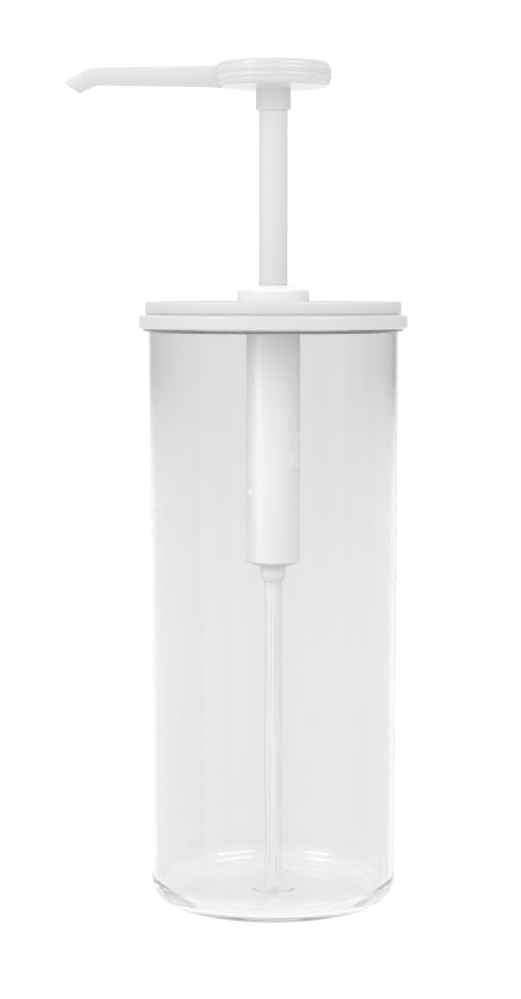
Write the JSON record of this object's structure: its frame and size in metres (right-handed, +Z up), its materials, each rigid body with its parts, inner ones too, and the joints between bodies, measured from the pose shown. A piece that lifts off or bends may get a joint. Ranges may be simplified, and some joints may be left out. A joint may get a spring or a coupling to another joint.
{
  "type": "condiment pump dispenser",
  "caption": "Tall clear jar with a press-on lid and a hand pump: a sprung press head with a swivelling bent spout, a piston chamber and a dip tube.",
  "frame": {"origin": "middle of the jar's flat base", "axes": "+Z up along the stem, the spout points along -X"},
  "size_m": [0.1638, 0.1288, 0.4035],
  "materials": {
    "clear_jar": "clear, polished",
    "white_plastic": "satin moulded",
    "milky_plastic": "natural, slightly see-through",
    "silicone": "soft matt",
    "spring_steel": "drawn wire",
    "ball_steel": "polished"
  },
  "bodies": {
    "jar": {"jar": "clear_jar"},
    "pump_body": {"lid": "white_plastic", "lid_gasket": "silicone", "collar_nut": "white_plastic", "chamber_gasket": "silicone", "stem_wiper": "silicone", "stem_guide": "white_plastic", "pump_chamber": "white_plastic", "foot_valve_body": "white_plastic", "foot_seal": "silicone", "foot_cage": "white_plastic", "return_spring": "spring_steel", "dip_tube": "milky_plastic"},
    "piston": {"piston": "white_plastic", "piston_rings": "silicone", "stem_ring": "silicone"},
    "head": {"pump_stem": "white_plastic", "ball_stop": "white_plastic", "pump_head": "white_plastic", "head_cap": "white_plastic"},
    "foot_ball": {"foot_ball": "ball_steel"},
    "discharge_ball": {"discharge_ball": "ball_steel"}
  },
  "joints": [
    {"name": "lid_lift", "type": "slide", "parent": "jar", "child": "pump_body", "axis": [0, 0, 1], "range_m": [0, 0.3]},
    {"name": "pump_stroke", "type": "slide", "parent": "pump_body", "child": "piston", "axis": [0, 0, -1], "range_m": [0, 0.08], "stiffness_N_per_m": 290, "springref_m": -0.015, "deforming": ["return_spring"]},
    {"name": "head_swivel", "type": "hinge", "parent": "piston", "child": "head", "pos_m": [0, 0, 0.38], "axis": [0, 0, 1], "continuous": true},
    {"name": "foot_ball_lift", "type": "slide", "parent": "pump_body", "child": "foot_ball", "axis": [0, 0, 1], "range_m": [0, 0.0023]},
    {"name": "discharge_ball_lift", "type": "slide", "parent": "piston", "child": "discharge_ball", "axis": [0, 0, 1], "range_m": [0, 0.0025]}
  ]
}
